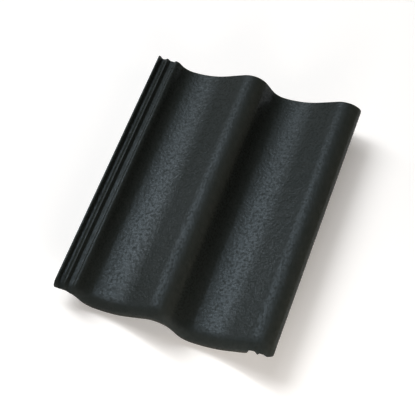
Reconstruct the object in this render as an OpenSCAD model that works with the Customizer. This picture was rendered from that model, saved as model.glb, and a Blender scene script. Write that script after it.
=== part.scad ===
// Interlocking double-roll concrete roof tile, pressed and cut as one piece.
// X runs across the tile (water lock at -X, cover lock at +X), Y runs up the roof
// (rounded nose at -Y, cut head with the hanging nibs at +Y) and Z is up.
// Z = 0 is the floor that the loose tile lies on, with its nose and its two nibs.
// Inside the modules x = 0 is the left edge and y = 0 is the front.

/* [Overall] */
// Length of the tile, from the nose to the cut head
tile_length = 420; // [330:5:520]
// Distance from one roll to the next
wave_pitch = 150; // [120:5:190]
// Width of the water lock that the neighbouring tile covers
side_lap = 30; // [25:1:40]
// Thickness of the body, square to its surface
body_t = 12; // [9:0.5:15]

/* [Wave] */
// Height of a roll above the water courses
wave_depth = 37; // [30:1:45]
// Width of the steep side, from a roll down to the next water course
steep_run = 50; // [41:1:60]
// Distance from the covered lock to the first water course
course_gap = 29.5; // [28:0.5:36]
// Width of the flat bottom of this water course, on the side of the lock
course_flat = 1.5; // [0:0.5:3]
// Radius of a roll on its gentle side
roll_r_gentle = 33; // [28:1:42]
// Radius of a roll on its steep side
roll_r_steep = 25; // [20:1:30]
// Radius of a water course on its gentle side
course_r_gentle = 105; // [60:5:115]
// Radius of a water course on its steep side
course_r_steep = 24; // [18:1:30]

/* [Water lock] */
// Height of the lock's channels above the water courses
lock_rise = 13; // [10:0.5:16]
// Thickness of the lock under its channels
lock_t = 10; // [8:0.5:12]
// Height of the outermost rib above its channel
lock_lip_h = 6.5; // [4:0.5:8]
// Height of the inner rib above its channel
lock_rib_h = 4.5; // [3:0.5:6]
// Height of the shoulder above this channel
lock_step_h = 4; // [2:0.5:6]
// Width of a lock rib at its foot
lock_rib_w = 14; // [10:0.5:15]
// Width of the rounded step from the channel up to the shoulder
lock_step_w = 4; // [3:0.5:6]
// Distance from the left edge to the outermost rib
lock_edge = 1.5; // [1:0.5:3]
// Distance from the shoulder to the neighbour's right edge
lock_shoulder = 1; // [0:0.5:2]

/* [Cover lock] */
// Depth of the first rib below the underside of the covering roll
cover_rib_h = 7.5; // [4:0.5:8]
// Depth of the second rib, by the right edge
cover_lip_h = 4; // [2:0.5:6]
// Width of these ribs at their foot
cover_rib_w = 8; // [6:0.5:9]
// Height of the right edge, with its rounded top
cover_edge_h = 7; // [6:0.5:12]
// Radius of this top
cover_edge_r = 4; // [2:0.5:5]

/* [Nose] */
// Height of the nose, from the top surface straight down
nose_h = 24; // [20:1:30]
// Distance from the front to the crease where the nose starts
nose_run = 10; // [9:0.5:14]
// Length of the thick bar behind the nose, under the tile
nose_bar = 8; // [5:1:14]
// Gap from the end of this bar to the water lock of the tile on the right
nose_gap = 5.5; // [3:0.5:16]
// Distance that the nose is set back at the left edge
front_setback = 3; // [0:0.5:4]
// Width over which the set back nose comes forward
setback_run = 200; // [120:10:260]
// Further distance that the thinner front of the water lock is set back
lock_setback = 2; // [0:0.5:3]
// Height by which the front is hollowed between this end and the first cover rib
nose_notch = 3; // [0:0.5:4]
// Radius of the right front corner, seen from above
corner_r = 8; // [3:0.5:8]

/* [Underside] */
// Width of a nib where it bears on the batten
nib_w = 38; // [25:1:44]
// Length of a nib, up the roof
nib_l = 18; // [14:1:25]
// Distance from the cut head to a nib
nib_inset = 8; // [4:1:20]
// Height of a weather bar below the underside
bar_h = 5; // [3:0.5:8]
// Width of a weather bar
bar_w = 7; // [5:0.5:10]
// Distance from the front to the first weather bar
bar_y = 48; // [42:1:70]
// Distance from one weather bar to the next
bar_pitch = 22; // [16:1:30]
// Number of weather bars
bar_n = 2; // [1:1:4]

/* [Hidden] */
concrete = "#3a3d3e";
waves = 2;
tile_width = waves * wave_pitch + side_lap;
gentle_run = wave_pitch - steep_run;
course_x = side_lap + course_gap;
// The nose reaches the floor under the water courses
course_z = nose_h;
roll_z = course_z + wave_depth;
last_roll_x = course_x + (waves - 1) * wave_pitch + gentle_run;
// Lock ribs, and the two cover ribs that hang in the neighbour's channels
lock_w = side_lap - lock_shoulder;
lock_rib_pitch = (lock_w - lock_edge) / 2;
lock_floor_z = course_z + lock_rise;
lip_z = lock_floor_z + lock_lip_h;
cover_rib_x = [for (i = [0:1])
    tile_width - side_lap + lock_edge + (i + 0.5) * lock_rib_pitch];
// Widths over which the nose bar fades out at the water lock and at the cover lock,
// its rounded end, and the width over which the lock's set back front starts
bar_fade_in = 10;
bar_fade_out = 2;
bar_end_r = 5;
lock_fade = 12;
// Rounding of the shoulder and rounding under the lock
shoulder_blend = 7;
under_blend = 3;
// Reach of joined shapes into the body, the share of its thickness that limits it,
// and the distance from the deepest crease to the plain body
bite = 3;
bite_share = 0.25;
crease_seam = 1;
body_y = nose_run + front_setback + crease_seam;
// Nose section: turn at the crease, share of the height that its round top takes,
// and its round foot
crease_turn = 25;
nose_top_share = 0.5;
foot_r = 5;
foot_share = 0.45;
nose_steps = 6;
foot_steps = 3;
// Distance between stations across the locks, across the wave and at the bar's end,
// and the number of stations round the right edge
fine_step = 1;
wave_step = 3;
end_step = 0.5;
edge_steps = 6;
// Nibs: place beside the lowest line, slope of the sides, and flat share of the foot
nib_offset = 6;
nib_flare = 3;
nib_flat_share = 0.6;

function smoothstep(a, b, x) =
    let (t = min(max((x - a) / (b - a), 0), 1)) t * t * (3 - 2 * t);
// The lower of two heights, with a rounded corner where they cross
function soft_min(a, b, r) =
    min(a, b) - pow(max(r - abs(a - b), 0), 2) / (4 * r);

// Two arcs that meet between a hollow and a roll can't be larger than this share of
// the radii asked for
function arc_fit(run, r_low, r_high) =
    min(1, (run * run + wave_depth * wave_depth) / (2 * wave_depth * (r_low + r_high)));
gentle_fit = arc_fit(gentle_run, course_r_gentle, roll_r_gentle);
steep_fit = arc_fit(steep_run, course_r_steep, roll_r_steep);

// Slope of the straight stretch that touches both arcs
function flank_angle(run, r_low, r_high) =
    let (h = r_low + r_high - wave_depth)
    asin(min(1, (r_low + r_high) / norm([run, h]))) - atan2(h, run);
// Height at distance u from the lowest line: hollow arc, straight stretch, raised arc
function flank(u, run, r_low, r_high) =
    let (a = flank_angle(run, r_low, r_high))
    u < r_low * sin(a) ? r_low - sqrt(r_low * r_low - u * u)
    : u > run - r_high * sin(a)
        ? wave_depth - r_high + sqrt(r_high * r_high - pow(run - u, 2))
        : r_low * (1 - cos(a)) + (u - r_low * sin(a)) * tan(a);
// Height of the wave on a surface that lies t below the top one, square to it
function wave(x, t = 0) =
    let (u = x - course_x, v = u - floor(u / wave_pitch) * wave_pitch)
    course_z - t + (v < gentle_run
        ? flank(v, gentle_run, course_r_gentle * gentle_fit + t,
            roll_r_gentle * gentle_fit - t)
        : flank(wave_pitch - v, steep_run, course_r_steep * steep_fit + t,
            roll_r_steep * steep_fit - t));

// A round rib of height 1
function rib(x, middle, width) =
    abs(x - middle) < width / 2 ? (1 + cos(360 * (x - middle) / width)) / 2 : 0;
// The water lock: a lip at the edge, a rib, and a step up to the shoulder
function lock_top(x) =
    x < lock_edge ? lip_z - pow(lock_edge - x, 2) / (4 * lock_edge)
    : lock_floor_z + max(lock_lip_h * rib(x, lock_edge, lock_rib_w),
        lock_rib_h * rib(x, lock_edge + lock_rib_pitch, lock_rib_w),
        lock_step_h * smoothstep(lock_w - lock_step_w, lock_w, x));
// How far a round edge of this radius has turned away at distance u from its start
function round_off(u, r) = u > 0 ? r - sqrt(max(r * r - u * u, 0)) : 0;
// The side of the lock falls to the first water course like the steep side of a roll
function lock_side_z(x, t = 0) = wave(min(x + course_flat, course_x), t);
function top_z(x) =
    x < course_x ? soft_min(lock_top(x), lock_side_z(x), shoulder_blend)
    : wave(x) - round_off(x - tile_width + cover_edge_r, cover_edge_r);
// The ribs under the covering roll, a deep one and a low one by the edge
function cover_ribs(x) =
    max(cover_rib_h * rib(x, cover_rib_x[0], cover_rib_w),
        cover_lip_h * rib(x, cover_rib_x[1], cover_rib_w));
// The underside is flat under the water lock and under the covering half of the roll
function under_z(x) =
    x < course_x ? soft_min(lock_floor_z - lock_t, lock_side_z(x, body_t), under_blend)
    : x < last_roll_x ? wave(x, body_t) - cover_ribs(x)
    : min(roll_z - body_t, wave(x) - cover_edge_h) - cover_ribs(x);

// Stations across the tile, close together over the two locks and at both ends of
// the nose bar, and at equal turns round the right edge
function spread(a, b, step) =
    let (n = ceil((b - a) / step)) [for (i = [0:n - 1]) a + (b - a) * i / n];
bar_left = lock_w + bar_fade_in;
bar_right = tile_width - side_lap - nose_gap;
// The front corner ends before the crease, which limits its radius
corner = min(corner_r, nose_run - 2 * crease_seam);
edge_x = tile_width - max(corner, cover_edge_r);
stations = concat(
    spread(0, bar_left, fine_step),
    spread(bar_left, bar_right - bar_end_r, wave_step),
    spread(bar_right - bar_end_r, bar_right, fine_step),
    spread(bar_right, bar_right + bar_fade_out, end_step),
    spread(bar_right + bar_fade_out, edge_x, fine_step),
    [for (k = [0:edge_steps])
        edge_x + (tile_width - edge_x) * sin(90 * k / edge_steps)]);

// The outline of the wave's section, drawn along the tile from y to y + l
module along(outline, y, l)
    translate([0, y + l, 0]) rotate([90, 0, 0]) linear_extrude(l) polygon(outline);

module body()
    along(concat([for (x = stations) [x, top_z(x)]],
        [for (i = [len(stations) - 1:-1:0]) [stations[i], under_z(stations[i])]]),
        body_y, tile_length - body_y);

// Lowest line of the nose: a constant drop below the wave, no bar at the locks, and
// a notch behind the bar's rounded end that passes the neighbour's lip
function nose_foot_z(x) =
    let (bar = smoothstep(lock_w, bar_left, x)
            * (1 - smoothstep(bar_right, bar_right + bar_fade_out, x)),
        notch = smoothstep(bar_right, bar_right + bar_fade_out, x)
            * (1 - smoothstep(cover_rib_x[0] - cover_rib_w / 2, cover_rib_x[0], x)),
        end = round_off(min(x - bar_right + bar_end_r, bar_end_r), bar_end_r))
    under_z(x) + nose_notch * notch - max(under_z(x) - wave(x) + nose_h - end, 0) * bar;
// The crease and the front bend back towards the left, the front also at both locks
function crease_y(x) = nose_run + front_setback * (1 - smoothstep(0, setback_run, x));
function front_y(x) =
    crease_y(x) - nose_run
        + lock_setback * (1 - smoothstep(lock_w - lock_fade, lock_w, x))
        + round_off(x - tile_width + corner, corner);
// Section of the nose at x, from the crease over the front and the foot into the body
function nose_section(x) =
    let (top = top_z(x), under = under_z(x), foot = nose_foot_z(x), front = front_y(x),
        crease = crease_y(x), round_h = nose_top_share * (top - foot),
        r = min(foot_r, foot_share * (top - foot), crease - front - crease_seam),
        back = body_y + nose_bar, reach = min(bite, bite_share * (top - under)))
    concat(
        [[x, body_y, top]],
        [for (k = [0:nose_steps])
            let (a = crease_turn + (90 - crease_turn) * k / nose_steps)
            [x, front + (crease - front) * (1 - sin(a)) / (1 - sin(crease_turn)),
                top - round_h * (1 - cos(a) / cos(crease_turn))]],
        [for (k = [0:foot_steps])
            let (a = 90 * k / foot_steps)
            [x, front + r * (1 - cos(a)), foot + r * (1 - sin(a))]],
        [[x, body_y, foot], [x, back, foot + max(reach - abs(under - foot), 0)],
            [x, back, (top + under) / 2]]);
module nose() {
    rings = [for (x = stations) nose_section(x)];
    m = len(rings[0]);
    n = len(rings);
    polyhedron(
        points = [for (ring = rings, p = ring) p],
        faces = concat(
            [[for (j = [0:m - 1]) j]],
            [[for (j = [0:m - 1]) n * m - 1 - j]],
            [for (i = [0:n - 2], j = [0:m - 1], half = [0:1])
                let (a = i * m + j, b = i * m + (j + 1) % m)
                half == 0 ? [a, a + m, b + m] : [a, b + m, b]]));
}

// A low rib that follows the underside from lock to lock
module weather_bar(y) {
    inside = [for (x = stations) if (x >= bar_left && x <= bar_right) x];
    along(concat([for (x = inside) [x, under_z(x) + bite]],
        [for (i = [len(inside) - 1:-1:0])
            let (x = inside[i],
                fade = smoothstep(bar_left, bar_left + bar_fade_in, x)
                    * (1 - smoothstep(bar_right - bar_fade_in, bar_right, x)))
            [x, under_z(x) + bite - (bar_h + bite) * fade]]), y, bar_w);
}

// A nib: upright towards the batten, flared at its sides and sloped at its back
module nib(x) {
    top = course_z - bite;
    y = tile_length - nib_inset - nib_l;
    intersection() {
        along([[x - nib_w / 2, 0], [x + nib_w / 2, 0],
            [x + nib_w / 2 + nib_flare, top], [x - nib_w / 2 - nib_flare, top]], y, nib_l);
        translate([x - nib_w, 0, 0]) rotate([90, 0, 90]) linear_extrude(2 * nib_w)
            polygon([[y, 0], [y + nib_l * nib_flat_share, 0], [y + nib_l, top], [y, top]]);
    }
}

module roof_tile() color(concrete)
    translate([-tile_width / 2, -tile_length / 2, 0]) {
        body();
        nose();
        for (i = [0:bar_n - 1]) weather_bar(bar_y + i * bar_pitch);
        for (i = [0:waves - 1]) nib(course_x + i * wave_pitch + nib_offset);
    }

roof_tile();
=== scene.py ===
# %% [markdown]
# # An interlocking concrete roof tile
#
# A tile like this is made on a roller extruder: damp mortar is pressed in one long ribbon onto
# steel pallets that shape its underside, while a profiled roller and a slipper shape its top. The
# ribbon is cut into tiles, sprayed with a dark acrylic coating and cured. The CAD model holds the
# true size and section, but its faces are flat facets. This notebook lays a finely meshed, slightly
# uneven, coated skin in the same place, so that it catches the light as pressed mortar does. The
# skin is worked out from formulas, so each step can be read, changed and run again. Lengths are in
# metres.

# %% Load the CAD frame
import math
import bpy
import numpy as np
from mathutils import Matrix, Vector
from mathutils.bvhtree import BVHTree


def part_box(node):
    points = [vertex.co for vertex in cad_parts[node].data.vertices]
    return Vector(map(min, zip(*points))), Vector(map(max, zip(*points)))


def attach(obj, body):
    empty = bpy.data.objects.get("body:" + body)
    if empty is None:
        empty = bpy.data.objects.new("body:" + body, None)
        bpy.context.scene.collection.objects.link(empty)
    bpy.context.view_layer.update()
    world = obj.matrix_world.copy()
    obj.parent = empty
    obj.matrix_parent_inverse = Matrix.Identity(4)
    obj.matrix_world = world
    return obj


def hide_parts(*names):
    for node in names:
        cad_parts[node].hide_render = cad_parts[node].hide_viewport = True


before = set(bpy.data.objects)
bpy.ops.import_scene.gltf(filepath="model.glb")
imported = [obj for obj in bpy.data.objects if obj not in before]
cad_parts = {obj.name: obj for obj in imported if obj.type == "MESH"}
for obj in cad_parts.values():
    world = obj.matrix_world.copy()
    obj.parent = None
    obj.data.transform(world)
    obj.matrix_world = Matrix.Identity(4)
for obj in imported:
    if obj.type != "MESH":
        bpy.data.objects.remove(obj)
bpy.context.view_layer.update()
low, high = (np.array(corner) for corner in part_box("roof_tile"))
width, length, height = high - low
print(f"CAD tile: {width * 1000:.1f} x {length * 1000:.1f} x {height * 1000:.1f} mm")

# %% [markdown]
# ## The camera
#
# A catalogue view of a tile looks down on it from its lower right corner with a long lens, so the
# rolls stay nearly parallel. Rotation angles would do, but it is clearer to say from where the
# camera looks: an azimuth round the tile, an elevation above the floor and a small tilt of the
# picture. Three unit vectors (back, right and up) are then the columns of its rotation matrix.

# %% Camera
azimuth, elevation, tilt = (math.radians(angle) for angle in (24.67, 62.6, -4.94))
camera_distance, lens_mm = 1.656, 97.2
aim_shift = (-0.0063, -0.0100)

back = Vector((math.sin(azimuth) * math.cos(elevation),
               -math.cos(azimuth) * math.cos(elevation),
               math.sin(elevation)))
level = Vector((math.cos(azimuth), math.sin(azimuth), 0))
right = math.cos(tilt) * level + math.sin(tilt) * back.cross(level)
up = back.cross(right)
aim = Vector((low + high) / 2) + aim_shift[0] * right + aim_shift[1] * up

camera = bpy.data.objects.new("camera", bpy.data.cameras.new("camera"))
bpy.context.scene.collection.objects.link(camera)
camera.matrix_world = Matrix.Translation(aim + camera_distance * back) @ Matrix(
    (right, up, back)).transposed().to_4x4()
camera.data.lens = lens_mm
bpy.context.scene.camera = camera
print("camera stands at", [round(value, 3) for value in camera.matrix_world.translation])

# %% [markdown]
# ## The section of the tile
#
# Across the tile, two water courses rise gently into two rolls and drop steeply behind them. The
# left edge is the water lock: a lip, a rib and a shoulder, with two channels between them that
# drain what blows in. The right edge is the cover lock: the last roll lies over the next tile's
# water lock and hangs two ribs into its channels. Heights could be read off the CAD mesh, but a
# formula can be sampled as finely as the surface needs. So the sizes come first, in millimetres
# as on a drawing. x runs from the left edge, y from the front and z from the floor.

# %% Sizes of the section
MM = 0.001
wave_pitch, side_lap, body_t = 150 * MM, 30 * MM, 12 * MM
wave_depth, steep_run, course_gap, course_flat = 37 * MM, 50 * MM, 29.5 * MM, 1.5 * MM
roll_r_gentle, roll_r_steep = 33 * MM, 25 * MM
course_r_gentle, course_r_steep = 105 * MM, 24 * MM
nose_h = 24 * MM
lock_rise, lock_t, lock_edge, lock_shoulder = 13 * MM, 10 * MM, 1.5 * MM, 1 * MM
lock_lip_h, lock_rib_h, lock_step_h = 6.5 * MM, 4.5 * MM, 4 * MM
lock_rib_w, lock_step_w = 14 * MM, 4 * MM
lip_top, lip_fall, rib_fall = 2.7 * MM, 3.3 * MM, 4.4 * MM
cover_rib_h, cover_lip_h, cover_rib_w = 7.5 * MM, 4 * MM, 8 * MM
cover_edge_h, cover_edge_r = 7 * MM, 4 * MM
shoulder_blend, under_blend = 7 * MM, 3 * MM

gentle_run = wave_pitch - steep_run
course_x = side_lap + course_gap
course_z = nose_h
roll_z = course_z + wave_depth
last_roll_x = course_x + wave_pitch + gentle_run
lock_w = side_lap - lock_shoulder
lock_rib_pitch = (lock_w - lock_edge) / 2
lock_floor_z = course_z + lock_rise
lip_z = lock_floor_z + lock_lip_h
cover_rib_x = [width - side_lap + lock_edge + (i + 0.5) * lock_rib_pitch for i in range(2)]
print(f"two waves and a lap: {(2 * wave_pitch + side_lap) * 1000:.1f} mm wide")

# %% [markdown]
# ## Curves that make the wave
#
# A die for such a roller is drawn with a compass and a ruler: each side of a roll is an arc in the
# hollow, a straight slope, and an arc on top, all touching. The same arcs with the wall added to
# one radius and taken from the other give the underside, so the wall has one thickness
# everywhere. Bezier curves would look similar, but then neither wall nor radius is known. Ribs
# are cosine waves, and corners are softened by blending two heights where they cross.

# %% Arcs, ribs and soft corners
def smoothstep(start, end, x):
    """0 before start, 1 after end. Between them t is the share of the way, and the value is three
    t squares less two t cubes."""
    t = np.clip((x - start) / (end - start), 0, 1)
    return t * t * (3 - 2 * t)


def flank(u, run, r_low, r_high):
    """Height at distance u from the lowest line: an arc of radius r_low, then a straight slope
    that touches both arcs, then an arc of radius r_high that ends level on the roll."""
    rise = r_low + r_high - wave_depth
    slope = math.asin(min(1, (r_low + r_high) / math.hypot(run, rise))) - math.atan2(rise, run)
    hollow = r_low - np.sqrt(np.maximum(r_low ** 2 - u ** 2, 0))
    raised = wave_depth - r_high + np.sqrt(np.maximum(r_high ** 2 - (run - u) ** 2, 0))
    straight = r_low * (1 - math.cos(slope)) + (u - r_low * math.sin(slope)) * math.tan(slope)
    return np.where(u < r_low * math.sin(slope), hollow,
                    np.where(u > run - r_high * math.sin(slope), raised, straight))


def wave(x, below=0.0):
    """Height of the rolls on a surface that lies square under the top one by below: a smaller
    radius on the rolls and a larger one in the courses keep the distance the same."""
    v = np.mod(x - course_x, wave_pitch)
    gentle = flank(v, gentle_run, course_r_gentle + below, roll_r_gentle - below)
    steep = flank(wave_pitch - v, steep_run, course_r_steep + below, roll_r_steep - below)
    return course_z - below + np.where(v < gentle_run, gentle, steep)


def rib(x, middle, rib_width):
    """One period of a raised cosine, 1 at the middle and 0 half the width away."""
    turn = np.clip((x - middle) / rib_width, -0.5, 0.5)
    return 0.5 + 0.5 * np.cos(2 * math.pi * turn)


def soft_min(a, b, reach):
    """The lower of two heights. Where they are nearer to each other than reach, the square of
    what is left of the reach, over four reaches, is taken off, which rounds the corner."""
    return np.minimum(a, b) - np.maximum(reach - np.abs(a - b), 0) ** 2 / (4 * reach)


def round_off(u, radius):
    """How far a round edge has turned away at distance u from its start: the radius less the
    height of a quarter circle, which is the root of radius squared less u squared."""
    u = np.clip(u, 0, radius)
    return radius - np.sqrt(radius ** 2 - u ** 2)


print(f"the wave is {wave(np.array(course_x)) * 1000:.1f} mm high in a course and "
      f"{wave(np.array(last_roll_x)) * 1000:.1f} mm on a roll")


# %% [markdown]
# ## The two faces
#
# The top face takes the higher of lip, rib and step in the lock, then falls to the first course
# like the steep side of a roll. A spinning roller presses the inner sides of lip and rib steeper
# than a cosine, so those two sides are smoothsteps here, within two millimetres of the CAD. The
# underside is flat below both locks, where tiles lie on each other, and runs parallel to the
# wave in between. The right edge is a quarter circle of four millimetres.

# %% Top and underside
def top_height(x):
    """The lip, rib and step of the water lock, cut off by the side that falls to the first
    course like the steep side of a roll, then the wave, and the rounded right edge. The lip's
    outer edge falls as the square of the way from its inner end."""
    rib_x = lock_edge + lock_rib_pitch
    lock = np.where(
        x < lock_edge, lip_z - (lock_edge - x) ** 2 / (4 * lock_edge),
        lock_floor_z + np.max([
            lock_lip_h * (1 - smoothstep(lip_top, lip_top + lip_fall, x)),
            lock_rib_h * np.where(x < rib_x, rib(x, rib_x, lock_rib_w),
                                  1 - smoothstep(rib_x, rib_x + rib_fall, x)),
            lock_step_h * smoothstep(lock_w - lock_step_w, lock_w, x)], axis=0))
    side = wave(np.minimum(x + course_flat, course_x))
    roll = wave(x) - round_off(x - width + cover_edge_r, cover_edge_r)
    return np.where(x < course_x, soft_min(lock, side, shoulder_blend), roll)


def under_height(x):
    """Flat under the water lock, parallel to the wave, and flat again under the covering half
    of the last roll, less the two ribs of the cover lock."""
    side = wave(np.minimum(x + course_flat, course_x), body_t)
    lock = soft_min(lock_floor_z - lock_t, side, under_blend)
    cover_and_painted_warmth = np.minimum(roll_z - body_t, wave(x) - cover_edge_h)
    face = np.where(x < course_x, lock, np.where(x < last_roll_x, wave(x, body_t), cover_and_painted_warmth))
    return face - np.maximum(cover_rib_h * rib(x, cover_rib_x[0], cover_rib_w),
                             cover_lip_h * rib(x, cover_rib_x[1], cover_rib_w))


across_tile = np.linspace(0, width, round(width / MM) + 1)
wall = top_height(across_tile) - under_height(across_tile)
print(f"wall measured upright: {wall.min() * 1000:.1f} to {wall.max() * 1000:.1f} mm")

# %% [markdown]
# ## Sizes along the tile
#
# The front of the tile turns down as a rounded nose that rests on the course below and throws the
# water off. Behind it the underside has two weather bars against blown rain, and near the head
# two nibs that hook behind the roof batten. Here are their sizes, and a helper that spaces points
# closely where the outline turns and widely where it is straight, which keeps the mesh light.

# %% Sizes of the outline
nose_run, nose_bar, nose_gap, nose_notch = 10 * MM, 8 * MM, 35.5 * MM, 3 * MM
front_setback, setback_run, lock_setback, lock_fade = 3 * MM, 200 * MM, 2 * MM, 12 * MM
corner_r = 8 * MM
nib_w, nib_l, nib_inset, nib_offset, nib_flare = 38 * MM, 18 * MM, 8 * MM, 6 * MM, 3 * MM
nib_flat_share, draft = 0.6, 1 * MM
bar_h, bar_w, bar_y, bar_pitch = 5 * MM, 7 * MM, 48 * MM, 22 * MM
fade_in, fade_out, bar_end_r = 10 * MM, 2 * MM, 5 * MM
crease_turn = math.radians(25)
foot_r, foot_share, round_share = 5 * MM, 0.45, 0.5
crease_seam, bar_reach, bar_slope = 1 * MM, 3 * MM, 1 * MM
bar_left, bar_right = lock_w + fade_in, width - nose_gap
body_y = nose_run + front_setback + crease_seam


def steps(*runs):
    """Numbers from run to run: each run is (start, end, spacing), without its end."""
    return np.concatenate([np.linspace(a, b, max(1, round(abs(b - a) / gap)), endpoint=False)
                           for a, b, gap in runs])


print(f"a {nose_h * 1000:.0f} mm nose, nibs {nib_w * 1000:.0f} mm wide, "
      f"bars {bar_pitch * 1000:.0f} mm apart")


# %% [markdown]
# ## Weather bars and nibs
#
# Both are pressed by hollows in the steel pallet, so their sides slope a little to let the pallet
# go. A nib is upright in front, where it bears on the batten, and slopes behind. Separate boxes
# could be joined on with a Boolean, but a depth added to the underside keeps the skin one closed
# grid: zero on the wall, and the height of the bar or nib where one hangs.

# %% Depth of the bars and nibs
def under_relief(x, y):
    """How far the underside hangs down at each x and y: weather bars with sloping sides, which
    fade out before the locks, and nibs, upright in front and sloping at the back."""
    across = (smoothstep(bar_left, bar_left + fade_in, x)
              * (1 - smoothstep(bar_right - fade_in, bar_right, x)))
    bars = sum(np.clip((y - start) / draft, 0, 1) * np.clip((start + bar_w - y) / draft, 0, 1)
               for start in (bar_y, bar_y + bar_pitch))
    hang = bar_h * bars * across
    for i in range(2):
        from_middle = np.abs(x - (course_x + i * wave_pitch + nib_offset))
        side = np.clip((nib_w / 2 + nib_flare - from_middle) / nib_flare, 0, 1)
        front = length - nib_inset - nib_l
        slope = (front + nib_l - y) / (nib_l * (1 - nib_flat_share))
        along = np.clip((y - front) / draft, 0, 1) * np.clip(slope, 0, 1)
        hang = np.maximum(hang, under_height(x) * side * along)
    return hang


nib_x = course_x + nib_offset
nib_depth = under_relief(np.array([[nib_x]]), np.array([[length - nib_inset - nib_l / 2]]))
print(f"a nib hangs {nib_depth.item() * 1000:.1f} mm below the wall")


# %% [markdown]
# ## Lines of the nose
#
# Seen from the front, the nose hangs a constant height below the wave. Its crease and front face
# bow back a little towards the left edge. The thick bar behind it ends before both locks, because
# a neighbour has to lie there, and a notch behind its right end lets the neighbour's lip pass. Each
# of these lines is a height or a y for every x. Guide curves drawn by hand would have to be moved
# one by one when a size changes, while a line in x follows by itself.

# %% Lines of the nose
def nose_lines(x):
    """For each x: the height of the foot, a nose height below the wave and blended into the
    underside at both ends, and the y of the crease, of the front face and of the bar's back."""
    under = under_height(x)
    bar = (smoothstep(lock_w, bar_left, x)
           * (1 - smoothstep(bar_right, bar_right + fade_out, x)))
    notch = (smoothstep(bar_right, bar_right + fade_out, x)
             * (1 - smoothstep(cover_rib_x[0] - cover_rib_w / 2, cover_rib_x[0], x)))
    bar_end = round_off(x - bar_right + bar_end_r, bar_end_r)
    foot = (under + nose_notch * notch
            - np.maximum(under - wave(x) + nose_h - bar_end, 0) * bar)
    crease = nose_run + front_setback * (1 - smoothstep(0, setback_run, x))
    front = (crease - nose_run
             + lock_setback * (1 - smoothstep(lock_w - lock_fade, lock_w, x))
             + round_off(x - width + corner_r, corner_r))
    back_y = body_y + nose_bar * smoothstep(0, bar_reach, under - foot)
    return foot, crease, front, back_y


print("foot, crease, front and back of the bar under the left course:",
      [round(line.item() * 1000, 1) for line in nose_lines(np.array([course_x]))], "mm")


# %% [markdown]
# ## One closed ring at each x
#
# Cut the tile from head to nose and the outline is one closed ring: the weathered top, the
# crease, the rounded nose and its foot, the thick bar behind it, the underside with bars and nib,
# and the cut head. Every ring has the same number of points, so rings side by side make a grid
# with no gaps. Lofting between a few drawn outlines would need one for each change in shape.

# %% Rings of y and z
head_y, crease_zone, margin = 3 * MM, 20 * MM, 1 * MM
fine, medium, coarse = 0.5 * MM, 0.7 * MM, 2.6 * MM
before_bars, between_bars, behind_bars = 4 * MM, 3 * MM, 6 * MM


def section(x):
    """Rings of y and z, one row for each x: the top from head to crease, an arc from the crease
    to the front, the face, the foot arc, the bar, the underside and the head."""
    x = x[:, None]
    top, under, one = top_height(x), under_height(x), np.ones_like(x)
    foot, crease, front, end = nose_lines(x)
    round_h = round_share * (top - foot)
    toe = np.minimum(np.minimum(foot_r, foot_share * (top - foot)), crease - front - crease_seam)

    y_top = steps((length, length - head_y, fine), (length - head_y, crease_zone, coarse))
    # Shares and angles along the other parts of the ring, each with the points that it needs.
    to_crease = np.linspace(0, 1, 9)[:-1]
    turn = np.linspace(crease_turn, math.pi / 2, 13)
    drop = np.linspace(0, 1, 6)[1:-1]
    curl = np.linspace(0, math.pi / 2, 6)
    flat = np.linspace(0, 1, 8)[1:]
    rise = np.linspace(0, 1, 5)[1:]
    bar_end_y, next_bar_y = bar_y + bar_w, bar_y + bar_pitch
    next_end_y, nib_y = next_bar_y + bar_w, length - nib_inset - nib_l
    y_under = steps((body_y + nose_bar, bar_y - margin, before_bars),
                    (bar_y - margin, bar_end_y + margin, fine),
                    (bar_end_y + margin, next_bar_y - margin, between_bars),
                    (next_bar_y - margin, next_end_y + margin, fine),
                    (next_end_y + margin, nib_y - margin, behind_bars),
                    (nib_y - margin, length, medium))[1:]
    ring_y = [
        one * y_top,
        crease_zone + (crease - crease_zone) * to_crease,
        front + (crease - front) * (1 - np.sin(turn)) / (1 - math.sin(crease_turn)),
        front + 0 * drop,
        front + toe * (1 - np.cos(curl)),
        front + toe + (end - bar_slope - front - toe) * flat,
        end - bar_slope + bar_slope * rise,
        one * y_under,
        one * length + 0 * drop]
    ring_z = [
        top + 0 * y_top,
        top + 0 * to_crease,
        top - round_h * (1 - np.cos(turn) / math.cos(crease_turn)),
        top - round_h + (foot + toe - top + round_h) * drop,
        foot + toe * (1 - np.sin(curl)),
        foot + 0 * flat,
        foot + (under - foot) * rise,
        under - under_relief(x, y_under),
        under + (top - under) * drop]
    return np.concatenate(ring_y, axis=1), np.concatenate(ring_z, axis=1)


ring_test = section(np.array([course_x]))
print(f"{ring_test[0].shape[1]} points in a ring")

# %% [markdown]
# ## One skin from the rings
#
# The stations across the tile are close together on the ribs, at the sides of the nibs and at the
# two edges. At the edges the rings also shrink a little along a quarter circle, which rounds them
# as the pallet's corners do. Then each point is averaged with its two neighbours a few times. That
# wears every sharp corner of a ring by about a millimetre and leaves straight runs alone, and it
# is simpler than a Bevel modifier on a shape with so many edges.

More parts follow.
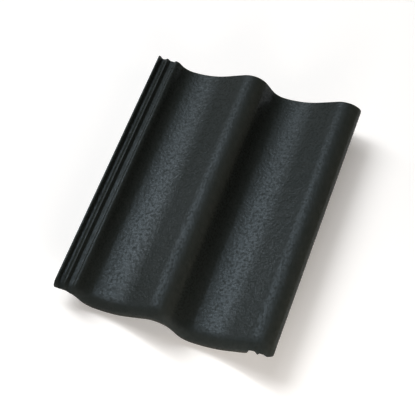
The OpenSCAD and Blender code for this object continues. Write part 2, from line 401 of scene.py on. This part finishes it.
# %% Stations and rings
edge_r, side_reach = 0.9 * MM, 3 * MM
across_step, side_step, cover_step = 1.9 * MM, 0.75 * MM, 0.8 * MM
left_points, right_points = 6, 25
smoothing_passes, neighbour_share = 3, 0.25
nib_sides = [course_x + i * wave_pitch + nib_offset + side * (nib_w / 2 + nib_flare / 2)
             for i in range(2) for side in (-1, 1)]
middle = steps((bar_left, bar_right - bar_end_r, across_step))
for side in nib_sides:
    near = np.abs(middle - side) < side_reach
    close = side + steps((-side_reach, side_reach, side_step))
    middle = np.sort(np.concatenate([middle[~near], close]))
left_turn = np.linspace(0, math.pi / 2, left_points)[:-1]
right_turn = np.linspace(0, math.pi / 2, right_points)
stations = np.concatenate([
    edge_r * (1 - np.cos(left_turn)), steps((edge_r, bar_left, medium)), middle,
    steps((bar_right - bar_end_r, bar_right + fade_out, fine),
          (bar_right + fade_out, width - corner_r, cover_step)),
    width - corner_r + corner_r * np.sin(right_turn)])
inset = round_off(edge_r - stations, edge_r) + round_off(stations - width + edge_r, edge_r)

ring_y, ring_z = section(stations)
for _ in range(smoothing_passes):
    for ring in (ring_y, ring_z):
        neighbours = np.roll(ring, 1, axis=1) + np.roll(ring, -1, axis=1)
        ring += neighbour_share * (neighbours - 2 * ring)
along_y = np.roll(ring_y, -1, axis=1) - np.roll(ring_y, 1, axis=1)
along_z = np.roll(ring_z, -1, axis=1) - np.roll(ring_z, 1, axis=1)
run = np.hypot(along_y, along_z)
ring_y -= inset[:, None] * along_z / run
ring_z += inset[:, None] * along_y / run
skin = np.stack([np.broadcast_to(stations[:, None], ring_y.shape), ring_y, ring_z], axis=-1)
print(f"{skin.shape[0]} rings of {skin.shape[1]} points")


# %% [markdown]
# ## Unevenness of pressed mortar
#
# The roller leaves faint ripples across the ribbon, and damp mortar settles into shallow lumps
# before it sets. Both are real shape, a tenth or two of a millimetre deep, and they break up the
# sheen in the water courses. Three layers are added: broad lumps, low ripples that lie across the
# tile, and fine lumps. A Displace modifier could do it, but numbers made here can be stretched
# along the roller. They are seeded, so every run gives the same tile.

# %% Random lumps on a lattice
def lumps(points, size, seed):
    """Smooth random heights from 0 to 1: random numbers on a box lattice with the three sizes
    given, blended between the eight nearest with a smoothstep on each axis."""
    at = points / np.array(size)
    at = at - at.min(axis=(0, 1)) + 0.5
    cell = np.floor(at).astype(int)
    t = at - cell
    t = t * t * (3 - 2 * t)
    table = np.random.default_rng(seed).random(cell.max(axis=(0, 1)) + 2)
    total = 0.0
    for corner in np.ndindex(2, 2, 2):
        weight = np.prod(np.where(corner, t, 1 - t), axis=-1)
        total = total + weight * table[tuple(np.moveaxis(cell + corner, -1, 0))]
    return total


# One row for each size of lumps: depth, sizes along x, y and z, and seed.
lump_layers = ((0.22 * MM, (34 * MM, 46 * MM, 34 * MM), 3),
               (0.16 * MM, (26 * MM, 7 * MM, 26 * MM), 5),
               (0.06 * MM, (5 * MM, 6 * MM, 5 * MM), 8))
depth = sum(deepest * lumps(skin, sizes, seed) for deepest, sizes, seed in lump_layers)
print(f"lumps {depth.min() * 1000:.2f} to {depth.max() * 1000:.2f} mm deep")

# %% [markdown]
# ## Cut the skin inwards
#
# Each point moves along the inward normal by the depth found for it. The lumps never add to the
# tile, so it can't outgrow its mould. Both side edges keep their place, because they give the
# width over which neighbours meet. A modifier could cut the skin as well, but it changes what is
# drawn and not these points, and the coating, the wear and the checks below need them as they
# end up.

# %% Cut the skin inwards
def inward(points):
    """Unit vectors that point into the body: the cross product of the steps to the next ring
    and to the next point of the same ring."""
    across = np.gradient(points, axis=0)
    around = np.roll(points, -1, axis=1) - np.roll(points, 1, axis=1)
    square = np.cross(across, around)
    return square / np.linalg.norm(square, axis=-1, keepdims=True)


smooth_skin = skin
skin = skin + np.where(inset[:, None] > 0, 0, depth)[..., None] * inward(skin)
cut = np.linalg.norm(skin - smooth_skin, axis=-1)
print(f"cut inwards by {cut.mean() * 1000:.2f} mm on average")


# %% [markdown]
# ## Where the spray reaches
#
# The coating is sprayed from above, so it lies thick on the weathered face, thinner on upright
# faces such as the nose, and not at all underneath, where the bare mortar shows. The thinner film
# on upright faces is partly painted warm light: the brown mortar showing through it warms the nose
# and the right edge, as a warm lamp from the front and right would. Stacking and handling also rub
# it off the sharpest corners. A painted texture could say where, but the shape already knows it.
# How far a face turns up gives the coating with its painted warmth, and how fast the surface turns
# gives the wear. Both are stored as attributes, one number for each point, for the material to
# read.

# %% Coating, painted warmth and wear at each point
sharp_from, sharp_to = 1 / (3.5 * MM), 1 / (1.2 * MM)
mist_from, mist_to, spray_depth = 0.5 * MM, 3 * MM, 2 * MM
facing_from, facing_to, least_length = -0.7, 0.2, 0.1 * MM


def corner_wear(points):
    """1 where a ring turns outwards sharply, 0 where it is flat or hollow, by its curvature: the
    inward part of the change from one step to the next, over the square of a mean step, so four
    times that part over the square of both steps together."""
    before = points - np.roll(points, 1, axis=1)
    after = np.roll(points, -1, axis=1) - points
    both = np.linalg.norm(before, axis=-1) + np.linalg.norm(after, axis=-1)
    bend = np.sum((after - before) * inward(points), axis=-1) / both
    return smoothstep(sharp_from, sharp_to, 4 * bend / np.maximum(both, least_length))


above = skin[..., 2] - under_height(skin[..., 0])
sprayed = np.maximum(smoothstep(mist_from, mist_to, above),
                     smoothstep(body_y, body_y - spray_depth, skin[..., 1]))
# Thinner film on upright faces: partly real spray, partly painted warm light on the nose and right
# edge.
coating_and_painted_warmth = sprayed * smoothstep(facing_from, facing_to, -inward(skin)[..., 2])
wear = corner_wear(skin)
print(f"{(coating_and_painted_warmth > 0.5).mean():.0%} of the points are coated, {(wear > 0.5).mean():.1%} worn")


# %% [markdown]
# ## The mesh
#
# Neighbouring points of neighbouring rings make quads, and the first and last ring are closed by
# one flat face each. The whole arrays go into the mesh at once with foreach_set, which is far
# quicker than adding vertices one by one. Quads are shaded smooth and the two end faces flat.

# %% Mesh from the grid of points
def mesh_from_rings(name, points):
    """A closed mesh: a quad between each pair of neighbours on two neighbouring rings, and one
    flat face on the first and on the last ring."""
    rings, count = points.shape[:2]
    index = np.arange(rings * count).reshape(rings, count)
    following = np.roll(index, -1, axis=1)
    quads = np.stack([index[:-1], following[:-1], following[1:], index[1:]], axis=-1)
    quads = quads.reshape(-1, 4)
    loops = np.concatenate([quads.ravel(), index[0, ::-1], index[-1]])
    sizes = np.concatenate([np.full(len(quads), 4), [count, count]])
    mesh = bpy.data.meshes.new(name)
    mesh.vertices.add(rings * count)
    mesh.vertices.foreach_set("co", points.astype(np.float32).ravel())
    mesh.loops.add(len(loops))
    mesh.loops.foreach_set("vertex_index", loops.astype(np.int32))
    mesh.polygons.add(len(sizes))
    mesh.polygons.foreach_set("loop_start", (np.cumsum(sizes) - sizes).astype(np.int32))
    mesh.polygons.foreach_set("use_smooth", sizes == 4)
    mesh.update(calc_edges=True)
    mesh.validate()
    return mesh


tile_mesh = mesh_from_rings("coated_roof_tile", skin + low)
for name, values in (("coating_and_painted_warmth", coating_and_painted_warmth), ("wear", wear)):
    attribute = tile_mesh.attributes.new(name, "FLOAT", "POINT")
    attribute.data.foreach_set("value", values.astype(np.float32).ravel())
tile = bpy.data.objects.new("coated_roof_tile", tile_mesh)
bpy.context.scene.collection.objects.link(tile)
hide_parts("roof_tile")
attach(tile, "root")
tile_mesh.calc_loop_triangles()
print(f"{len(tile_mesh.loop_triangles)} triangles")

# %% [markdown]
# ## Does it lie on the CAD solid?
#
# The new skin stands in for a solid that was checked for fit, so it has to lie on it. One point in
# 37 is measured to the nearest point of the CAD mesh. A tree of its faces (a BVH) finds that
# point quickly. The largest distances are on the steeper sides of the lock's lip and rib.

# %% Distance from the CAD surface
cad_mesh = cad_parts["roof_tile"].data
cad_tree = BVHTree.FromPolygons([v.co[:] for v in cad_mesh.vertices],
                                [p.vertices[:] for p in cad_mesh.polygons])
sample_step = 37
sample = (skin + low).reshape(-1, 3)[::sample_step]
gaps = np.array([cad_tree.find_nearest(Vector(point))[3] for point in sample])
print(f"distance from the CAD surface: mean {gaps.mean() * 1000:.2f}, "
      f"largest {gaps.max() * 1000:.2f} mm")


# %% [markdown]
# ## Two helpers for materials
#
# Colours are easiest to read as the hex codes of a paint chart, but a renderer adds light up in
# linear numbers, so one function undoes the sRGB curve. Materials are graphs of nodes. Each node
# could take five lines of code, so a second function adds any node together with its settings and
# its links.

# %% Helpers for materials
def linear(code):
    """A scene-linear colour from an sRGB hex code. A dark channel is divided by 12.92. Any other
    has 0.055 added, is divided by 1.055 and raised to the power 2.4."""
    srgb = np.array([int(code[i:i + 2], 16) for i in (1, 3, 5)]) / 255
    flat = np.where(srgb <= 0.04045, srgb / 12.92, ((srgb + 0.055) / 1.055) ** 2.4)
    return (*flat.tolist(), 1.0)


def add_node(tree, kind, settings=None, links=None):
    """One shader node. Settings are its properties or its sockets' values, and links say which
    output feeds a socket. A socket is named, or numbered where names repeat."""
    made = tree.nodes.new(kind)
    for name, value in (settings or {}).items():
        if isinstance(name, int) or name in made.inputs:
            made.inputs[name].default_value = value
        else:
            setattr(made, name, value)
    for name, output in (links or {}).items():
        tree.links.new(output, made.inputs[name])
    return made


print("anthracite #222624 is", [round(value, 3) for value in linear("#222624")[:3]], "in linear")

# %% [markdown]
# ## Acrylic-coated concrete
#
# The real finish is a thin black acrylic film, sprayed on extruded mortar of sand, cement and
# pigment. The film levels out, so it gives the eye a satin sheen where it mirrors a light, broken
# by dark specks where a pore or a grain turns it away. Tone and gloss vary from place to place,
# because mortar soaks up the film unevenly. An image of concrete would repeat or stretch on such a
# shape, so five three-dimensional noises are laid through the whole body instead. Each has a size
# in millimetres: grain and pores under the film, sand in bare mortar, patches of thicker film,
# clouds in the mortar, and specks in the sheen.

# %% Noise through the body
coated_concrete = bpy.data.materials.new("acrylic_coated_concrete")
coated_concrete.use_nodes = True
tree = coated_concrete.node_tree
tree.nodes.clear()
place = add_node(tree, "ShaderNodeTexCoord").outputs["Object"]
# Grains and pores are 0.5 to 1 mm across. That is too fine to show from where the camera stands,
# so grain and film are drawn about four times as coarse, and sand twice.
patterns = {"grain": (4.2 * MM, 2, 0), "sand": (1.6 * MM, 3, 7), "patches": (7 * MM, 4, 11),
            "clouds": (30 * MM, 5, 5), "film": (3.5 * MM, 2, 3)}
noise = {name: add_node(tree, "ShaderNodeTexNoise",
                        {"noise_dimensions": "4D", "W": seed, "Scale": 1 / size,
                         "Detail": detail, "Roughness": 0.5}, {"Vector": place}).outputs["Fac"]
         for name, (size, detail, seed) in patterns.items()}
print("noises:", ", ".join(f"{name} {size * 1000:.1f} mm"
                           for name, (size, detail, seed) in patterns.items()))

# %% [markdown]
# ## How much film is left
#
# The cover is 1 where the film is whole and 0 on bare mortar. It starts as the coating attribute,
# whose thinner film on upright faces is painted warm light as well as thin spray. It loses a little
# on worn corners where sand stands out, and gets a mist of droplets where the spray runs out.
# Drawing a mask by hand would work too, but it would not follow the shape when a size is changed.

# %% Cover of the film
# The coating attribute also carries painted warm light: thinner film on upright faces.
coat_and_painted_warmth = add_node(tree, "ShaderNodeAttribute", {"attribute_name": "coating_and_painted_warmth"}).outputs["Fac"]
worn = add_node(tree, "ShaderNodeAttribute", {"attribute_name": "wear"}).outputs["Fac"]
bare = add_node(tree, "ShaderNodeMath", {"operation": "SUBTRACT", 0: 1.0}, {1: coat_and_painted_warmth}).outputs[0]
mist = add_node(tree, "ShaderNodeMapRange",
                {"From Min": 0.35, "From Max": 0.65, "To Min": -0.10, "To Max": 0.10},
                {"Value": noise["sand"]}).outputs["Result"]
droplets = add_node(tree, "ShaderNodeMath", {"operation": "MULTIPLY"},
                    {0: bare, 1: mist}).outputs[0]
grit = add_node(tree, "ShaderNodeMapRange",
                {"From Min": 0.45, "From Max": 0.65, "To Min": 0.0, "To Max": 0.12},
                {"Value": noise["sand"]}).outputs["Result"]
rubbed = add_node(tree, "ShaderNodeMath", {"operation": "MULTIPLY"}, {0: worn, 1: grit}).outputs[0]
kept = add_node(tree, "ShaderNodeMath", {"operation": "SUBTRACT"}, {0: coat_and_painted_warmth, 1: rubbed}).outputs[0]
cover_and_painted_warmth = add_node(tree, "ShaderNodeMath", {"operation": "ADD", "use_clamp": True},
                 {0: kept, 1: droplets}).outputs[0]
print(f"{len(tree.nodes)} nodes so far")

# %% [markdown]
# ## Tone
#
# The film is anthracite, a black with a trace of green-grey. The mortar below is brown-grey,
# because a tile is coloured through with cheap iron oxide before it is sprayed. The cover mixes the
# two, so thin film on the nose and the right edge looks slightly warm. That warmth is painted warm
# light from the front and right. It is laid in through the layers rather than as a third colour.

# %% Tone of film and mortar
film_patches = add_node(tree, "ShaderNodeMapRange", {"From Min": 0.3, "From Max": 0.7},
                        {"Value": noise["patches"]}).outputs["Result"]
mortar_clouds = add_node(tree, "ShaderNodeMapRange", {"From Min": 0.35, "From Max": 0.65},
                         {"Value": noise["clouds"]}).outputs["Result"]
# A colour mix has its share at socket 0, its colours at sockets 6 and 7 and its result at 2.
anthracite = add_node(tree, "ShaderNodeMix",
                      {"data_type": "RGBA", 6: linear("#222624"), 7: linear("#282B29")},
                      {0: film_patches}).outputs[2]
# This brown also warms thin film on the nose and right edge, which is painted warm light.
mortar = add_node(tree, "ShaderNodeMix",
                  {"data_type": "RGBA", 6: linear("#4B453A"), 7: linear("#544E42")},
                  {0: mortar_clouds}).outputs[2]
# Underneath the mortar is bare. On upright faces, the mortar showing through thin film is painted
# warm light.
tone = add_node(tree, "ShaderNodeMix", {"data_type": "RGBA"},
                {0: cover_and_painted_warmth, 6: mortar, 7: anthracite}).outputs[2]
print(f"{len(tree.nodes)} nodes so far")

# %% [markdown]
# ## Gloss and relief
#
# Whole film is satin, with a roughness near 0.3 and specks up to 0.6. Bare mortar is matt at 0.9.
# The crests of the rolls are a little duller than the rest, because tiles are stacked and slid
# there. The nose is duller still: it gets the least film, runs over rails on end and is gripped
# there. Grain too small for the mesh goes into the normals with a bump node. The film rounds the
# sand off, so bare mortar gets the sand's relief on top of the grain.

# %% Gloss and relief
crest_from, crest_to, crest_dull = roll_z - 9 * MM, roll_z - 1 * MM, 0.09
nose_y, behind_nose_y, nose_dull = low[1] + 10 * MM, low[1] + 20 * MM, 0.35
mortar_roughness, sand_relief, relief_depth = 0.9, 2.0, 0.5 * MM
satin = add_node(tree, "ShaderNodeMapRange",
                 {"From Min": 0.46, "From Max": 0.72, "To Min": 0.27, "To Max": 0.60},
                 {"Value": noise["film"]}).outputs["Result"]
axes = add_node(tree, "ShaderNodeSeparateXYZ", links={"Vector": place}).outputs
scuffed = add_node(tree, "ShaderNodeMapRange",
                   {"From Min": crest_from, "From Max": crest_to,
                    "To Min": 0.0, "To Max": crest_dull}, {"Value": axes["Z"]}).outputs["Result"]
handled = add_node(tree, "ShaderNodeMapRange",
                   {"From Min": nose_y, "From Max": behind_nose_y,
                    "To Min": nose_dull, "To Max": 0.0}, {"Value": axes["Y"]}).outputs["Result"]
uncovered = add_node(tree, "ShaderNodeMath", {"operation": "SUBTRACT", 0: 1.0},
                     {1: cover_and_painted_warmth}).outputs[0]
duller = add_node(tree, "ShaderNodeMath", {"operation": "ADD"},
                  {0: scuffed, 1: uncovered}).outputs[0]
duller = add_node(tree, "ShaderNodeMath", {"operation": "ADD"},
                  {0: handled, 1: duller}).outputs[0]
rough = add_node(tree, "ShaderNodeMath", {"operation": "ADD"}, {0: satin, 1: duller}).outputs[0]
rough = add_node(tree, "ShaderNodeMath", {"operation": "MINIMUM", 1: mortar_roughness},
                 {0: rough}).outputs[0]
bare_sand = add_node(tree, "ShaderNodeMath", {"operation": "MULTIPLY", 1: sand_relief},
                     {0: noise["sand"]}).outputs[0]
relief = add_node(tree, "ShaderNodeMath", {"operation": "MULTIPLY_ADD"},
                  {0: bare_sand, 1: bare, 2: noise["grain"]}).outputs[0]
bump = add_node(tree, "ShaderNodeBump", {"Strength": 1.0, "Distance": relief_depth},
                {"Height": relief}).outputs["Normal"]
print(f"{len(tree.nodes)} nodes so far")

# %% [markdown]
# ## The shader
#
# Acrylic has an index of refraction of 1.49. A level of 0.12 instead of the usual 0.5 weakens its
# sheen, because between the specks much of a thin film on sand is pitted too finely to mirror
# anything. The film is slightly hazy, and haze makes a sheen cool, so its tint is a pale blue. A
# Glossy and a Diffuse node would give the same two parts, but the Principled shader shares the
# light out between them by itself.

# %% Shader of the coated concrete
coated_shader = add_node(tree, "ShaderNodeBsdfPrincipled",
                         {"IOR": 1.49, "Specular IOR Level": 0.12,
                          "Specular Tint": linear("#D8EEFF")},
                         {"Base Color": tone, "Roughness": rough, "Normal": bump})
add_node(tree, "ShaderNodeOutputMaterial", links={"Surface": coated_shader.outputs["BSDF"]})
tile_mesh.materials.append(coated_concrete)
print(f"{coated_concrete.name}: {len(tree.nodes)} nodes, {len(tree.links)} links")

# %% [markdown]
# ## The floor
#
# The tile lies on matt white paper, as in a catalogue. Paper that is lit like the tile would look
# grey far away, so it also glows a little, but only for rays from the camera, from mirrors and
# through glass. A floor that glowed for all rays would light the tile from below. The paper is
# so wide that its edge never shows.

# %% Floor
floor_half, paper_glow = 30.0, 0.20
floor_mesh = bpy.data.meshes.new("floor")
corners = [(x * floor_half, y * floor_half, 0) for x, y in ((-1, -1), (1, -1), (1, 1), (-1, 1))]
floor_mesh.from_pydata(corners, [], [range(4)])
floor = bpy.data.objects.new("floor", floor_mesh)
bpy.context.scene.collection.objects.link(floor)

paper = bpy.data.materials.new("matt_white_paper")
paper.use_nodes = True
tree = paper.node_tree
tree.nodes.clear()
paths = add_node(tree, "ShaderNodeLightPath").outputs
direct = add_node(tree, "ShaderNodeMath", {"operation": "ADD"},
                  {0: paths["Is Glossy Ray"], 1: paths["Is Transmission Ray"]}).outputs[0]
direct = add_node(tree, "ShaderNodeMath", {"operation": "ADD"},
                  {0: paths["Is Camera Ray"], 1: direct}).outputs[0]
glow = add_node(tree, "ShaderNodeMath", {"operation": "MULTIPLY", 1: paper_glow},
                {0: direct}).outputs[0]
paper_shader = add_node(tree, "ShaderNodeBsdfPrincipled",
                        {"Base Color": linear("#FBFBFB"), "Roughness": 0.9,
                         "Specular IOR Level": 0.0, "Emission Color": linear("#FFFFFF")},
                        {"Emission Strength": glow})
add_node(tree, "ShaderNodeOutputMaterial", links={"Surface": paper_shader.outputs["BSDF"]})
floor_mesh.materials.append(paper)
print(f"floor {2 * floor_half:.0f} m wide")

# %% [markdown]
# ## Five soft lights
#
# A dark satin tile shows its shape by what it mirrors. A long strip softbox behind its left
# shoulder lies mirrored as a band along each course and roll, and leaves the sides that face
# right dark. A small softbox low in front lights the nose. Three wide lights fill in: a large one
# high on the left, a warm one on the right, so low that it reaches only the outer side of the last
# roll and grazes the others, and a weak warm one low in front. The three are suns with a wide
# angle, because a far light is equally strong all along the tile, where a near card would leave
# hot streaks on the crests.

# %% Lights
def soft_sun(name, direction, energy, spread, code):
    """A lamp at a great distance in this direction, as wide as spread degrees."""
    lamp = bpy.data.objects.new(name, bpy.data.lights.new(name, "SUN"))
    bpy.context.scene.collection.objects.link(lamp)
    lamp.matrix_world = Vector(direction).to_track_quat("Z", "Y").to_matrix().to_4x4()
    lamp.data.energy = energy
    lamp.data.angle = math.radians(spread)
    lamp.data.color = linear(code)[:3]
    return lamp


def softbox(name, place, size, power, turn=0, code="#FFFFFF"):
    """A rectangular softbox that faces the tile. Its first side lies level, square to the way
    from the tile, and is then turned round that way by turn degrees."""
    lamp = bpy.data.objects.new(name, bpy.data.lights.new(name, "AREA"))
    bpy.context.scene.collection.objects.link(lamp)
    away = Vector(place).normalized()
    along = Vector((0, 1, 0)).cross(away).normalized()
    along = Matrix.Rotation(math.radians(turn), 3, away) @ along
    lamp.matrix_world = Matrix.Translation(place) @ Matrix(
        (along, away.cross(along), away)).transposed().to_4x4()
    lamp.data.shape = "RECTANGLE"
    lamp.data.size, lamp.data.size_y = size
    lamp.data.energy = power
    lamp.data.color = linear(code)[:3]
    lamp.visible_camera = False
    return lamp


lamps = [
    softbox("strip_softbox", place=(-1.27, 0.84, 1.88), size=(3.60, 0.20), power=30.5, turn=-5),
    softbox("front_softbox", place=(0.31, -0.62, 0.16), size=(0.50, 0.22), power=2.6,
            code="#FFF7EF"),
    soft_sun("side_card", direction=(0.99, 0.02, 0.02), energy=3.00, spread=12, code="#FFE8CC"),
    soft_sun("wide_softbox", direction=(-0.60, 0.35, 0.72), energy=1.82, spread=34,
             code="#FFFFFF"),
    soft_sun("low_card", direction=(0.45, -0.85, 0.25), energy=0.50, spread=30, code="#FFEEDD")]
print("lights:", ", ".join(lamp.name for lamp in lamps))

# %% [markdown]
# ## The rest of the studio
#
# Between the lights the studio is nearly dark, so nothing washes out the sheen. A pale world would
# be simpler than five lights, but it lights all sides alike and flattens the section.

# %% World and view
world_strength = 0.01
world = bpy.data.worlds.new("studio")
bpy.context.scene.world = world
world.use_nodes = True
backdrop = world.node_tree.nodes["Background"].inputs
backdrop["Color"].default_value = linear("#FFFFFF")
backdrop["Strength"].default_value = world_strength
bpy.context.scene.view_settings.view_transform = "Standard"
print(f"world strength {backdrop['Strength'].default_value:.2f}")
